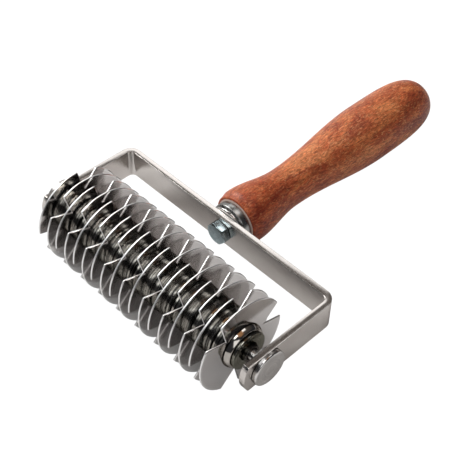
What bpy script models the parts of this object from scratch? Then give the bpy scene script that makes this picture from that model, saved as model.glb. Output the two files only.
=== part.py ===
"""Lattice roller cutter: notched blades on a roller, in a bent strap yoke with a turned wooden handle.

All lengths are in metres. The pieces are modelled in the tool's own axes: the origin is the middle of
the axle, halfway between the yoke's arms, +X runs along the axle to the right arm, +Y to the handle
and +Z up. The empty cutter_axes then lays the tool down as it rests, on its blades and on the belly of
its handle, with the world's origin under the middle of the whole tool.
"""
import math

import bmesh
import bpy
from mathutils import Matrix

for leftover in list(bpy.data.objects):
    bpy.data.objects.remove(leftover)

# Clearances
FIT_GAP = 0.0003            # between pieces that are pushed, clamped or screwed together
RUNNING_GAP = 0.0003        # round the axle, and beside what turns on it

# Blades
BLADE_COUNT = 18
BLADE_DIAMETER = 0.0500
BLADE_THICKNESS = 0.0010
NOTCHES_PER_BLADE = 3
NOTCH_WIDTH = 0.0118        # across the mouth of the V, at the rim
NOTCH_DEPTH = 0.0112        # from the rim to the root of the V
FIRST_NOTCH_ANGLE = math.radians(12.9)     # how far the roller is turned, from +Y towards +Z

# Spacer rings between the blades
SPACER_DIAMETER = 0.0260
SPACER_LENGTH = 0.00528
SPACER_CHAMFER = 0.0005

# Core: a tube with flats that carries the blades, with a round neck at each end
CORE_FLATS = 6
CORE_ACROSS_FLATS = 0.0120
CORE_NECK_DIAMETER = 0.0092
CORE_NECK_REACH = 0.0020    # how far a neck stands out of its end flange

# Ends of the roller
HUB_DIAMETER = 0.0238       # beside the outer blade
HUB_NOSE_DIAMETER = 0.0212  # beside the end flange
HUB_LENGTH = 0.0028
FLANGE_DIAMETER = 0.0200
FLANGE_THICKNESS = 0.0014
FLANGE_CHAMFER = 0.0003
END_FLOAT = 0.0049          # how far the roller can slide between the thrust washers
ROLLER_SLIDE_SHARE = 0.55   # of half the float, how far it has slid to the left of the middle

# Axle, its domed head, and the cap nut that matches the head
AXLE_DIAMETER = 0.0060
AXLE_TIP_CHAMFER = 0.0004
HEAD_DIAMETER = 0.0186
HEAD_RIM = 0.0015           # height of the straight rim
HEAD_ROUND_HEIGHT = 0.0009
HEAD_ROUND_WIDTH = 0.0010
HEAD_CROWN = 0.0002         # how much the middle of the face stands above its edge
NUT_ENGAGEMENT = 0.0019     # depth of the blind bore in the cap nut
WASHER_DIAMETER = 0.0142
WASHER_THICKNESS = 0.0010

# Yoke: a flat strap bent to a U
STRAP_THICKNESS = 0.0033
STRAP_WIDTH = 0.0164
STRAP_BEND_RADIUS = 0.0030  # inside of the bend
BRIDGE_CLEARANCE = 0.0176   # from the blades' rims to the bridge
ARM_END_RADIUS = 0.0137     # of the free end of an arm, rounded about the axle

# Hex bolt through the bridge
BOLT_DIAMETER = 0.0063
BOLT_HEAD_SIDES = 6
BOLT_ACROSS_FLATS = 0.0111
BOLT_HEAD_HEIGHT = 0.0043
BOLT_HEAD_TURN = math.radians(-12.0)
BOLT_HEAD_FACE_SHARE = 0.94                # of the flats, the round face that the chamfer leaves
BOLT_HEAD_CHAMFER_SLOPE = math.tan(math.radians(30.0))
BOLT_TIP_CHAMFER = 0.0006
BOLT_TIP_CLEARANCE = 0.0025 # from the bolt's tip to the end of the insert

# Steel fittings at the front of the handle
FERRULE_WASHER_DIAMETER = 0.0214
FERRULE_WASHER_THICKNESS = 0.0008
FERRULE_DIAMETER = 0.0232
FERRULE_LENGTH = 0.0046
FERRULE_FRONT_WALL = 0.0016
FERRULE_SIDE_WALL = 0.0024  # round the tenon of the handle
FERRULE_CHAMFER = 0.0008
FERRULE_LIP = 0.0003        # the broken edge at the back
INSERT_DIAMETER = 0.0100
INSERT_LENGTH = 0.0220
INSERT_DRILL_CLEARANCE = 0.0015

# Handle: places are measured from the shoulder that the ferrule meets
HANDLE_LENGTH = 0.1475
SHOULDER_DIAMETER = 0.0274
SHOULDER_ROUND = 0.0009
BEAD_DIAMETER = 0.0296
BEAD_PLACE = 0.0055
WAIST_DIAMETER = 0.0224
WAIST_PLACE = 0.0347
BELLY_DIAMETER = 0.0335
BELLY_PLACE = 0.1010
BUTT_FULLNESS = 3.7         # exponent of the butt's curve: 2 is an ellipse, more is squarer

# How finely round shapes are divided
BLADE_ARC_STEPS = 12
RING_SIDES = 24
FITTING_SIDES = 32
HANDLE_SIDES = 32
BEND_STEPS = 6
ARM_END_STEPS = 10
HEAD_ROUND_STEPS = 5
SHOULDER_STEPS = 3
BEAD_TO_WAIST_STEPS = 7
WAIST_TO_BELLY_STEPS = 8
BUTT_STEPS = 9
SMOOTH_ANGLE = math.radians(35.0)
MERGE_DISTANCE = 0.000001
CUT_OVERRUN = 0.0020        # how far a cutter reaches past what it cuts

# Places along the axle, from the sizes above
BLADE_RADIUS = BLADE_DIAMETER / 2
BLADE_PITCH = BLADE_THICKNESS + SPACER_LENGTH + 2 * FIT_GAP
STACK_LENGTH = (BLADE_COUNT - 1) * BLADE_PITCH + BLADE_THICKNESS
CORE_BODY_LENGTH = STACK_LENGTH + 2 * (FIT_GAP + HUB_LENGTH)
CORE_NECK_LENGTH = FIT_GAP + FLANGE_THICKNESS + CORE_NECK_REACH
CORE_LENGTH = CORE_BODY_LENGTH + 2 * CORE_NECK_LENGTH
WASHER_ROOM = RUNNING_GAP + WASHER_THICKNESS + FIT_GAP
ARM_INNER_X = (CORE_LENGTH + END_FLOAT) / 2 + WASHER_ROOM
ARM_OUTER_X = ARM_INNER_X + STRAP_THICKNESS
ROLLER_X = -END_FLOAT / 2 * ROLLER_SLIDE_SHARE
HEAD_BACK_X = ARM_OUTER_X + FIT_GAP
HEAD_HEIGHT = HEAD_RIM + HEAD_ROUND_HEIGHT + HEAD_CROWN
AXLE_END_X = HEAD_BACK_X + NUT_ENGAGEMENT - FIT_GAP
AXLE_HOLE_DIAMETER = AXLE_DIAMETER + 2 * RUNNING_GAP

# Places along the handle, from the sizes above
BRIDGE_FRONT_Y = BLADE_RADIUS + BRIDGE_CLEARANCE
BRIDGE_BACK_Y = BRIDGE_FRONT_Y + STRAP_THICKNESS
BOLT_HOLE_DIAMETER = BOLT_DIAMETER + 2 * FIT_GAP
BOLT_SEAT_Y = BRIDGE_FRONT_Y - FIT_GAP
FERRULE_WASHER_Y = BRIDGE_BACK_Y + FIT_GAP
FERRULE_FRONT_Y = FERRULE_WASHER_Y + FERRULE_WASHER_THICKNESS + FIT_GAP
FERRULE_BACK_Y = FERRULE_FRONT_Y + FERRULE_LENGTH
TENON_DIAMETER = FERRULE_DIAMETER - 2 * (FERRULE_SIDE_WALL + FIT_GAP)
TENON_FRONT_Y = FERRULE_FRONT_Y + FERRULE_FRONT_WALL + FIT_GAP
SHOULDER_Y = FERRULE_BACK_Y + FIT_GAP
INSERT_FRONT_Y = TENON_FRONT_Y
INSERT_BACK_Y = INSERT_FRONT_Y + INSERT_LENGTH
DRILL_END_Y = INSERT_BACK_Y + INSERT_DRILL_CLEARANCE
BOLT_TIP_Y = INSERT_BACK_Y - BOLT_TIP_CLEARANCE

# Colour, roughness and metallic value of each finish
FINISHES = {
    "blade_steel": ((0.62, 0.61, 0.60), 0.30, 1.0),
    "spacer_steel": ((0.55, 0.55, 0.54), 0.12, 1.0),
    "hub_steel": ((0.66, 0.65, 0.62), 0.14, 1.0),
    "core_steel": ((0.13, 0.125, 0.12), 0.25, 1.0),
    "axle_steel": ((0.72, 0.71, 0.69), 0.22, 1.0),
    "washer_steel": ((0.70, 0.69, 0.68), 0.25, 1.0),
    "strap_steel": ((0.62, 0.61, 0.59), 0.34, 1.0),
    "bolt_zinc": ((0.42, 0.50, 0.53), 0.30, 1.0),
    "ferrule_steel": ((0.68, 0.68, 0.68), 0.16, 1.0),
    "insert_brass": ((0.75, 0.58, 0.28), 0.35, 1.0),
    "handle_wood": ((0.42, 0.14, 0.05), 0.38, 0.0),
}


cutter_axes = bpy.data.objects.new("cutter_axes", None)
bpy.context.collection.objects.link(cutter_axes)


def finish_material(name):
    """A plain Principled material for one of the finishes."""
    existing = bpy.data.materials.get(name)
    if existing:
        return existing
    colour, roughness, metallic = FINISHES[name]
    material = bpy.data.materials.new(name)
    material.use_nodes = True
    shader = material.node_tree.nodes["Principled BSDF"]
    shader.inputs["Base Color"].default_value = (*colour, 1.0)
    shader.inputs["Roughness"].default_value = roughness
    shader.inputs["Metallic"].default_value = metallic
    return material


def add_piece(name, mesh, finish, x=0.0, turn=0.0):
    """Add a piece at a place along the axle, turned about it."""
    piece = bpy.data.objects.new(name, mesh)
    bpy.context.collection.objects.link(piece)
    if not mesh.materials:
        mesh.materials.append(finish_material(finish))
    piece.parent = cutter_axes
    piece.location.x = x
    piece.rotation_euler.x = turn
    return piece


def add_tool(name, mesh):
    """Add a shape that only cuts or joins another piece."""
    tool = bpy.data.objects.new(name, mesh)
    bpy.context.collection.objects.link(tool)
    tool.parent = cutter_axes
    tool.display_type = "WIRE"
    tool.hide_render = True
    return tool


def combine(piece, operation, tool):
    """Cut a piece with a tool, join it to one, or keep what both share."""
    modifier = piece.modifiers.new(tool.name, "BOOLEAN")
    modifier.operation = operation
    modifier.object = tool
    modifier.solver = "EXACT"


def finished_mesh(name, bm, smooth=True):
    """Turn a bmesh into a mesh with its faces outward."""
    bmesh.ops.recalc_face_normals(bm, faces=bm.faces)
    mesh = bpy.data.meshes.new(name)
    bm.to_mesh(mesh)
    bm.free()
    if smooth:
        mesh.shade_smooth()
        mesh.set_sharp_from_angle(angle=SMOOTH_ANGLE)
    return mesh


def add_loop(bm, points):
    """Join points in a closed loop and return its edges."""
    verts = [bm.verts.new(point) for point in points]
    return [bm.edges.new((verts[i - 1], verts[i])) for i in range(len(verts))]


def turned_mesh(name, profile, sides, ring=False, along_y=False):
    """Turn a profile of (place along the axis, radius) about the axle's line, or about the handle's.

    A ring's profile is a closed loop clear of the axis; any other starts and ends on the axis.
    """
    bm = bmesh.new()
    verts = [bm.verts.new((along, radius, 0)) for along, radius in profile]
    for first, second in zip(verts, verts[1:]):
        bm.edges.new((first, second))
    if ring:
        bm.edges.new((verts[-1], verts[0]))
    bmesh.ops.spin(bm, geom=list(bm.verts) + list(bm.edges), cent=(0, 0, 0), axis=(1, 0, 0),
                   angle=math.tau, steps=sides, use_merge=True)
    bmesh.ops.remove_doubles(bm, verts=bm.verts, dist=MERGE_DISTANCE)
    if along_y:
        bmesh.ops.rotate(bm, verts=bm.verts, cent=(0, 0, 0), matrix=Matrix.Rotation(math.pi / 2, 3, "Z"))
    return finished_mesh(name, bm)


def plate_mesh(name, loops, thickness_vector, smooth=False):
    """Fill flat loops, the inner ones as holes, and give the plate its thickness."""
    bm = bmesh.new()
    edges = [edge for loop in loops for edge in add_loop(bm, loop)]
    bmesh.ops.triangle_fill(bm, edges=edges, use_beauty=True)
    grown = bmesh.ops.extrude_face_region(bm, geom=list(bm.faces))
    moved = [item for item in grown["geom"] if isinstance(item, bmesh.types.BMVert)]
    bmesh.ops.translate(bm, verts=moved, vec=thickness_vector)
    return finished_mesh(name, bm, smooth)


def corner_diameter(sides, across_flats):
    """Size of a regular polygon across its corners."""
    return across_flats / math.cos(math.pi / sides)


def polygon(sides, across_flats, turn=0.0):
    """Corners of a regular polygon."""
    radius = corner_diameter(sides, across_flats) / 2
    angles = [turn + math.tau * i / sides for i in range(sides)]
    return [(radius * math.cos(angle), radius * math.sin(angle)) for angle in angles]


def arc(centre, radius, start, end, steps):
    """Points of an arc, both ends included."""
    angles = [start + (end - start) * i / steps for i in range(steps + 1)]
    return [(centre[0] + radius * math.cos(a), centre[1] + radius * math.sin(a)) for a in angles]


def ring_profile(start, length, bore_diameter, diameter, chamfer=0.0):
    """Section of a ring, with its outer edges chamfered where a chamfer is given."""
    end = start + length
    inner, outer = bore_diameter / 2, diameter / 2
    if not chamfer:
        return [(start, inner), (start, outer), (end, outer), (end, inner)]
    return [(start, inner), (start, outer - chamfer), (start + chamfer, outer),
            (end - chamfer, outer), (end, outer - chamfer), (end, inner)]


def rod_profile(start, end, diameter, tip_chamfer=0.0):
    """Section of a plain rod whose far end may be chamfered."""
    radius = diameter / 2
    tip = [(end - tip_chamfer, radius), (end, radius - tip_chamfer)] if tip_chamfer else [(end, radius)]
    return [(start, 0), (start, radius), *tip, (end, 0)]


def blade_outline():
    """Round blade with V notches cut in from its rim, the first one at the start of its angles."""
    root_radius = BLADE_RADIUS - NOTCH_DEPTH
    half_mouth = math.asin(NOTCH_WIDTH / 2 / BLADE_RADIUS)
    notch_step = math.tau / NOTCHES_PER_BLADE
    points = []
    for notch in range(NOTCHES_PER_BLADE):
        centre = notch * notch_step
        points.append((root_radius * math.cos(centre), root_radius * math.sin(centre)))
        first, last = centre + half_mouth, centre + notch_step - half_mouth
        points += arc((0, 0), BLADE_RADIUS, first, last, BLADE_ARC_STEPS)
    return points


def across_axle(x, outline):
    """Stand a flat outline up in the plane across the axle at x."""
    return [(x, y, z) for y, z in outline]


def make_roller():
    """Core, blades, spacers, end hubs and end flanges: everything that turns on the axle."""
    core_half, body_half = CORE_LENGTH / 2, CORE_BODY_LENGTH / 2
    core_outline = polygon(CORE_FLATS, CORE_ACROSS_FLATS)
    core_mesh = plate_mesh("roller_core", [across_axle(-body_half, core_outline)], (CORE_BODY_LENGTH, 0, 0))
    core = add_piece("roller_core", core_mesh, "core_steel", ROLLER_X, FIRST_NOTCH_ANGLE)
    neck = rod_profile(-core_half, core_half, CORE_NECK_DIAMETER)
    neck_mesh = turned_mesh("core_neck_tool", neck, RING_SIDES)
    bore_end = core_half + CUT_OVERRUN
    bore = rod_profile(-bore_end, bore_end, AXLE_HOLE_DIAMETER)
    bore_mesh = turned_mesh("core_bore_tool", bore, RING_SIDES)
    for operation, mesh in (("UNION", neck_mesh), ("DIFFERENCE", bore_mesh)):
        tool = add_tool(mesh.name, mesh)
        tool.location.x = ROLLER_X
        combine(core, operation, tool)

    blade_bore = polygon(CORE_FLATS, CORE_ACROSS_FLATS + 2 * FIT_GAP)
    blade_loops = [across_axle(-BLADE_THICKNESS / 2, outline) for outline in (blade_outline(), blade_bore)]
    blade_mesh = plate_mesh("blade", blade_loops, (BLADE_THICKNESS, 0, 0))
    ring_bore_diameter = corner_diameter(CORE_FLATS, CORE_ACROSS_FLATS) + 2 * FIT_GAP
    spacer = ring_profile(-SPACER_LENGTH / 2, SPACER_LENGTH, ring_bore_diameter, SPACER_DIAMETER,
                          SPACER_CHAMFER)
    spacer_mesh = turned_mesh("spacer", spacer, RING_SIDES, ring=True)
    first_blade_x = ROLLER_X - (STACK_LENGTH - BLADE_THICKNESS) / 2
    half_notch_step = math.pi / NOTCHES_PER_BLADE
    for number in range(BLADE_COUNT):
        x = first_blade_x + number * BLADE_PITCH
        steps_from_last = BLADE_COUNT - 1 - number
        turn = FIRST_NOTCH_ANGLE + steps_from_last % 2 * half_notch_step
        add_piece(f"blade_{number + 1:02d}", blade_mesh, "blade_steel", x, turn)
        if steps_from_last:
            add_piece(f"spacer_{number + 1:02d}", spacer_mesh, "spacer_steel", x + BLADE_PITCH / 2)

    hub_x = STACK_LENGTH / 2 + FIT_GAP
    flange_x = hub_x + HUB_LENGTH + FIT_GAP
    hub_bore = ring_bore_diameter / 2
    hub = [(hub_x, hub_bore), (hub_x, HUB_DIAMETER / 2), (hub_x + HUB_LENGTH, HUB_NOSE_DIAMETER / 2),
           (hub_x + HUB_LENGTH, hub_bore)]
    flange = ring_profile(flange_x, FLANGE_THICKNESS, CORE_NECK_DIAMETER + 2 * FIT_GAP, FLANGE_DIAMETER,
                          FLANGE_CHAMFER)
    for side, sign in (("left", -1), ("right", 1)):
        for kind, profile in (("end_hub", hub), ("end_flange", flange)):
            mirrored = [(sign * along, radius) for along, radius in profile]
            mesh = turned_mesh(f"{kind}_{side}", mirrored, FITTING_SIDES, ring=True)
            add_piece(f"{kind}_{side}", mesh, "hub_steel", ROLLER_X)


def head_profile():
    """Outer side of a domed head, from the middle of its face to the edge of its back."""
    radius = HEAD_DIAMETER / 2
    rim_x = HEAD_BACK_X + HEAD_RIM
    edge_radius = radius - HEAD_ROUND_WIDTH
    points = [(HEAD_BACK_X + HEAD_HEIGHT, 0)]
    for step in range(HEAD_ROUND_STEPS + 1):
        angle = math.pi / 2 * (1 - step / HEAD_ROUND_STEPS)
        points.append((rim_x + HEAD_ROUND_HEIGHT * math.sin(angle),
                       edge_radius + HEAD_ROUND_WIDTH * math.cos(angle)))
    points.append((HEAD_BACK_X, radius))
    return points


def make_axle():
    """Headed axle, its cap nut on the left, and the thrust washers beside the arms."""
    rod_radius = AXLE_DIAMETER / 2
    tip_x = -AXLE_END_X
    axle = head_profile() + [(HEAD_BACK_X, rod_radius), (tip_x + AXLE_TIP_CHAMFER, rod_radius),
                             (tip_x, rod_radius - AXLE_TIP_CHAMFER), (tip_x, 0)]
    add_piece("axle", turned_mesh("axle", axle, FITTING_SIDES), "axle_steel")

    bore_radius = AXLE_HOLE_DIAMETER / 2
    bore_end_x = HEAD_BACK_X + NUT_ENGAGEMENT
    nut = head_profile() + [(HEAD_BACK_X, bore_radius), (bore_end_x, bore_radius), (bore_end_x, 0)]
    mirrored = [(-along, radius) for along, radius in nut]
    add_piece("cap_nut", turned_mesh("cap_nut", mirrored, FITTING_SIDES), "axle_steel")

    washer_x = ARM_INNER_X - FIT_GAP - WASHER_THICKNESS
    washer = ring_profile(washer_x, WASHER_THICKNESS, AXLE_HOLE_DIAMETER, WASHER_DIAMETER)
    for side, sign in (("left", -1), ("right", 1)):
        mirrored = [(sign * along, radius) for along, radius in washer]
        mesh = turned_mesh(f"thrust_washer_{side}", mirrored, RING_SIDES, ring=True)
        add_piece(f"thrust_washer_{side}", mesh, "washer_steel")


def yoke_outline():
    """Edge of the bent strap, seen from above: round the outside, then back along the inside."""
    backward, leftward = math.pi / 2, math.pi
    outer_radius = STRAP_BEND_RADIUS + STRAP_THICKNESS
    bend_x, bend_y = ARM_INNER_X - STRAP_BEND_RADIUS, BRIDGE_FRONT_Y - STRAP_BEND_RADIUS
    right, left = (bend_x, bend_y), (-bend_x, bend_y)
    blank_end_y = -ARM_END_RADIUS - CUT_OVERRUN
    outline = [(ARM_OUTER_X, blank_end_y)]
    outline += arc(right, outer_radius, 0, backward, BEND_STEPS)
    outline += arc(left, outer_radius, backward, leftward, BEND_STEPS)
    outline += [(-ARM_OUTER_X, blank_end_y), (-ARM_INNER_X, blank_end_y)]
    outline += arc(left, STRAP_BEND_RADIUS, leftward, backward, BEND_STEPS)
    outline += arc(right, STRAP_BEND_RADIUS, backward, 0, BEND_STEPS)
    outline.append((ARM_INNER_X, blank_end_y))
    return [(x, y, -STRAP_WIDTH / 2) for x, y in outline]


def arm_end_offcut():
    """Edge of what is cut off the arms' ends: beyond an arc about the axle, as (y, z)."""
    half_width = STRAP_WIDTH / 2 + CUT_OVERRUN
    half_angle = math.asin(half_width / ARM_END_RADIUS)
    offcut = arc((0, 0), ARM_END_RADIUS, math.pi - half_angle, math.pi + half_angle, ARM_END_STEPS)
    offcut_end_y = -ARM_END_RADIUS - 2 * CUT_OVERRUN
    return offcut + [(offcut_end_y, -half_width), (offcut_end_y, half_width)]


def make_yoke():
    """Bent strap with round arm ends, a hole in each arm for the axle and one in the bridge for the bolt."""
    mesh = plate_mesh("frame_yoke", [yoke_outline()], (0, 0, STRAP_WIDTH), smooth=True)
    yoke = add_piece("frame_yoke", mesh, "strap_steel")
    drill_end_x = ARM_OUTER_X + CUT_OVERRUN
    offcut = [across_axle(-drill_end_x, arm_end_offcut())]
    end_cutter = plate_mesh("arm_end_tool", offcut, (2 * drill_end_x, 0, 0), smooth=True)
    combine(yoke, "DIFFERENCE", add_tool(end_cutter.name, end_cutter))
    axle_hole = rod_profile(-drill_end_x, drill_end_x, AXLE_HOLE_DIAMETER)
    axle_drill = turned_mesh("axle_hole_tool", axle_hole, RING_SIDES)
    bolt_hole = rod_profile(BRIDGE_FRONT_Y - CUT_OVERRUN, BRIDGE_BACK_Y + CUT_OVERRUN, BOLT_HOLE_DIAMETER)
    bolt_drill = turned_mesh("bolt_hole_tool", bolt_hole, RING_SIDES, along_y=True)
    for drill in (axle_drill, bolt_drill):
        combine(yoke, "DIFFERENCE", add_tool(drill.name, drill))


def make_bolt():
    """Hex bolt whose head lies inside the yoke and whose shank runs into the handle."""
    head_front_y = BOLT_SEAT_Y - BOLT_HEAD_HEIGHT
    face_radius = BOLT_ACROSS_FLATS / 2 * BOLT_HEAD_FACE_SHARE
    cone_radius = corner_diameter(BOLT_HEAD_SIDES, BOLT_ACROSS_FLATS) / 2 + CUT_OVERRUN
    cone_length = (cone_radius - face_radius) * BOLT_HEAD_CHAMFER_SLOPE

    hexagon = polygon(BOLT_HEAD_SIDES, BOLT_ACROSS_FLATS, BOLT_HEAD_TURN)
    corners = [(x, head_front_y, z) for x, z in hexagon]
    mesh = plate_mesh("hex_bolt", [corners], (0, BOLT_HEAD_HEIGHT, 0))
    bolt = add_piece("hex_bolt", mesh, "bolt_zinc")
    cone = [(head_front_y, 0), (head_front_y, face_radius), (head_front_y + cone_length, cone_radius),
            (BOLT_SEAT_Y + CUT_OVERRUN, cone_radius), (BOLT_SEAT_Y + CUT_OVERRUN, 0)]
    cone_mesh = turned_mesh("bolt_chamfer_tool", cone, FITTING_SIDES, along_y=True)
    combine(bolt, "INTERSECT", add_tool(cone_mesh.name, cone_mesh))
    shank = rod_profile(BOLT_SEAT_Y - BOLT_HEAD_HEIGHT / 2, BOLT_TIP_Y, BOLT_DIAMETER, BOLT_TIP_CHAMFER)
    shank_mesh = turned_mesh("bolt_shank_tool", shank, RING_SIDES, along_y=True)
    combine(bolt, "UNION", add_tool(shank_mesh.name, shank_mesh))


def make_ferrule():
    """Washer, cupped ferrule and threaded insert: the steel between the yoke and the wood."""
    washer = ring_profile(FERRULE_WASHER_Y, FERRULE_WASHER_THICKNESS, BOLT_HOLE_DIAMETER,
                          FERRULE_WASHER_DIAMETER)
    mesh = turned_mesh("ferrule_washer", washer, FITTING_SIDES, ring=True, along_y=True)
    add_piece("ferrule_washer", mesh, "washer_steel")

    hole, outer = BOLT_HOLE_DIAMETER / 2, FERRULE_DIAMETER / 2
    cup = TENON_DIAMETER / 2 + FIT_GAP
    floor_y = FERRULE_FRONT_Y + FERRULE_FRONT_WALL
    ferrule = [(FERRULE_FRONT_Y, hole), (FERRULE_FRONT_Y, outer - FERRULE_CHAMFER),
               (FERRULE_FRONT_Y + FERRULE_CHAMFER, outer), (FERRULE_BACK_Y - FERRULE_LIP, outer),
               (FERRULE_BACK_Y, outer - FERRULE_LIP), (FERRULE_BACK_Y, cup), (floor_y, cup), (floor_y, hole)]
    mesh = turned_mesh("ferrule", ferrule, FITTING_SIDES, ring=True, along_y=True)
    add_piece("ferrule", mesh, "ferrule_steel")

    insert = ring_profile(INSERT_FRONT_Y, INSERT_LENGTH, BOLT_HOLE_DIAMETER, INSERT_DIAMETER)
    mesh = turned_mesh("threaded_insert", insert, RING_SIDES, ring=True, along_y=True)
    add_piece("threaded_insert", mesh, "insert_brass")


def swell(start, end, steps):
    """Points between two (place, diameter) stations of the handle, level at both, as (y, radius)."""
    points = []
    for step in range(1, steps + 1):
        share = step / steps
        blend = (1 - math.cos(math.pi * share)) / 2
        place = start[0] + (end[0] - start[0]) * share
        diameter = start[1] + (end[1] - start[1]) * blend
        points.append((SHOULDER_Y + place, diameter / 2))
    return points


def handle_outer_profile():
    """Outside of the wood as (y, radius): shoulder, bead, waist, belly and butt."""
    bead = (BEAD_PLACE, BEAD_DIAMETER)
    waist = (WAIST_PLACE, WAIST_DIAMETER)
    belly = (BELLY_PLACE, BELLY_DIAMETER)
    shoulder = (SHOULDER_ROUND, SHOULDER_DIAMETER)
    points = [(SHOULDER_Y, SHOULDER_DIAMETER / 2 - SHOULDER_ROUND),
              (SHOULDER_Y + SHOULDER_ROUND, SHOULDER_DIAMETER / 2)]
    points += swell(shoulder, bead, SHOULDER_STEPS)
    points += swell(bead, waist, BEAD_TO_WAIST_STEPS)
    points += swell(waist, belly, WAIST_TO_BELLY_STEPS)
    butt_length = HANDLE_LENGTH - BELLY_PLACE
    for step in range(1, BUTT_STEPS):
        angle = math.pi / 2 * step / BUTT_STEPS
        along = math.sin(angle) ** (2 / BUTT_FULLNESS)
        across = math.cos(angle) ** (2 / BUTT_FULLNESS)
        points.append((SHOULDER_Y + BELLY_PLACE + butt_length * along, BELLY_DIAMETER / 2 * across))
    points.append((SHOULDER_Y + HANDLE_LENGTH, 0))
    return points


def make_handle():
    """Turned wooden handle with a tenon for the ferrule and a drilled hole for the insert."""
    drill, tenon = INSERT_DIAMETER / 2 + FIT_GAP, TENON_DIAMETER / 2
    inside = [(DRILL_END_Y, 0), (DRILL_END_Y, drill), (TENON_FRONT_Y, drill), (TENON_FRONT_Y, tenon),
              (SHOULDER_Y, tenon)]
    mesh = turned_mesh("handle", inside + handle_outer_profile(), HANDLE_SIDES, along_y=True)
    add_piece("handle", mesh, "handle_wood")


def lay_down():
    """Tilt the tool until its blades and its handle both touch the floor, and centre it."""
    profile = handle_outer_profile()
    tilts = [math.asin(BLADE_RADIUS / math.hypot(y, radius)) - math.atan2(radius, y) for y, radius in profile]
    tilt = min(tilts)
    back_y = max(y * math.cos(tilt) + radius * math.sin(tilt) for y, radius in profile)
    cutter_axes.rotation_euler.x = -tilt
    cutter_axes.location = (0, (BLADE_RADIUS - back_y) / 2, BLADE_RADIUS)


make_roller()
make_axle()
make_yoke()
make_bolt()
make_ferrule()
make_handle()
lay_down()
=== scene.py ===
import math

import bmesh
import bpy
from mathutils import Matrix, Vector


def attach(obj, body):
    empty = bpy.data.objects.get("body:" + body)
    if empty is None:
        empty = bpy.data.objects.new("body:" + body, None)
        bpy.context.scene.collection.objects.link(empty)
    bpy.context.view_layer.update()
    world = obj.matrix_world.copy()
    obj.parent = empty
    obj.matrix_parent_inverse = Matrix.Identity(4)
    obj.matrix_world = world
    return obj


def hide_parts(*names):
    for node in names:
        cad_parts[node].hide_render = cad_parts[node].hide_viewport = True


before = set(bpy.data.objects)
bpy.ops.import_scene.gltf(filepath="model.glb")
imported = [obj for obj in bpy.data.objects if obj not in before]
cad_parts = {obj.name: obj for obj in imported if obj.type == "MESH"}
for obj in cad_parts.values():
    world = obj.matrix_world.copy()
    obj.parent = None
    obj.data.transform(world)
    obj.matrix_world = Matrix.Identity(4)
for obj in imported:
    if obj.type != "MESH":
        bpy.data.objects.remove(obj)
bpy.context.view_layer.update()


# Roller core
# A tube of plain steel with six flats that carries the blades and keeps their stagger.
# It is milled from round bar, turned down to a neck at each end and bored for the axle.
TOOL_TILT = math.radians(2.814261)        # the tool leans back until the handle's belly touches the floor
TOOL_MIDDLE = (0.0, -0.0872296, 0.0250)   # middle of the axle
ROLLER_SLIDE = -0.0013475                 # how far the roller has slid along the axle
ROLLER_TURN = math.radians(12.9)
CORE_ACROSS_FLATS = 0.0120
CORE_BODY_HALF = 0.06208
CORE_NECK_RADIUS = 0.0046
CORE_NECK_END = 0.06578
CORE_NECK_CHAMFER = 0.0004
CORE_SIDES = 72
AXLE_BORE_RADIUS = 0.0033
SAME_POINT = 0.000001
CORNER_ANGLE = math.radians(29.5)         # a corner sharper than this is eased
SMOOTH_ANGLE = math.radians(30.1)         # a finished edge is shaded smooth up to just past 30 degrees,
                                          # the angle between the facets of a corner eased in three steps
FACE_FEED = 1.37                          # turned rings lie this much closer on a face than along a side
CLOUD_SIZE = 0.008                        # usual size of the smudges on handled metal
SPECKS_PER_METRE = 2600.0
# bare metal, which looks darker where it turns away from the eye
BARE_METAL = {"Metallic": 1.0, "Specular Tint": (0.35, 0.34, 0.33, 1.0)}

tool_place = Matrix.Translation(TOOL_MIDDLE) @ Matrix.Rotation(-TOOL_TILT, 4, "X")
across_axle = Matrix.Rotation(math.pi / 2, 4, "Y")     # stands a flat outline up across the axle


def add_node(tree, kind, feeds, **options):
    """Put a shader node in a tree, set its options and feed its sockets with values or other sockets."""
    node = tree.nodes.new(kind)
    for option, value in options.items():
        setattr(node, option, value)
    for socket, feed in feeds.items():
        if isinstance(feed, bpy.types.NodeSocket):
            tree.links.new(feed, node.inputs[socket])
        else:
            node.inputs[socket].default_value = feed
    return node


def work_out(tree, operation, first, second=0.0, third=0.0):
    """Arithmetic on two or three values in a tree."""
    return add_node(tree, "ShaderNodeMath", {0: first, 1: second, 2: third}, operation=operation).outputs[0]


def spread(tree, value, start=0.0, end=1.0, low=0.0, high=1.0):
    """Spread the values from start to end over low to high, and hold them there beyond."""
    return add_node(tree, "ShaderNodeMapRange", {"Value": value, "From Min": start, "From Max": end,
                                                 "To Min": low, "To Max": high}).outputs["Result"]


def blend(tree, share, first, second, how="MIX"):
    """Mix two colours by a share of the second."""
    return add_node(tree, "ShaderNodeMix", {0: share, 6: first, 7: second},
                    data_type="RGBA", blend_type=how).outputs[2]


def distance_from_line(tree, across, upward):
    """How far a point is from the line that a piece was turned about."""
    squares = [work_out(tree, "POWER", place, 2.0) for place in (across, upward)]
    return work_out(tree, "SQRT", work_out(tree, "ADD", squares[0], squares[1]))


def place_on_tool(tree, turn=(0.0, 0.0, 0.0)):
    """Places from the middle of the axle along the tool's own axes, which may be turned once more."""
    place = add_node(tree, "ShaderNodeTexCoord", {}).outputs["Object"]
    upright = add_node(tree, "ShaderNodeMapping",
                       {"Vector": place, "Location": TOOL_MIDDLE, "Rotation": (-TOOL_TILT, 0.0, 0.0)},
                       vector_type="TEXTURE")
    turned = add_node(tree, "ShaderNodeMapping", {"Vector": upright.outputs[0], "Rotation": turn})
    return turned.outputs[0]


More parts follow.
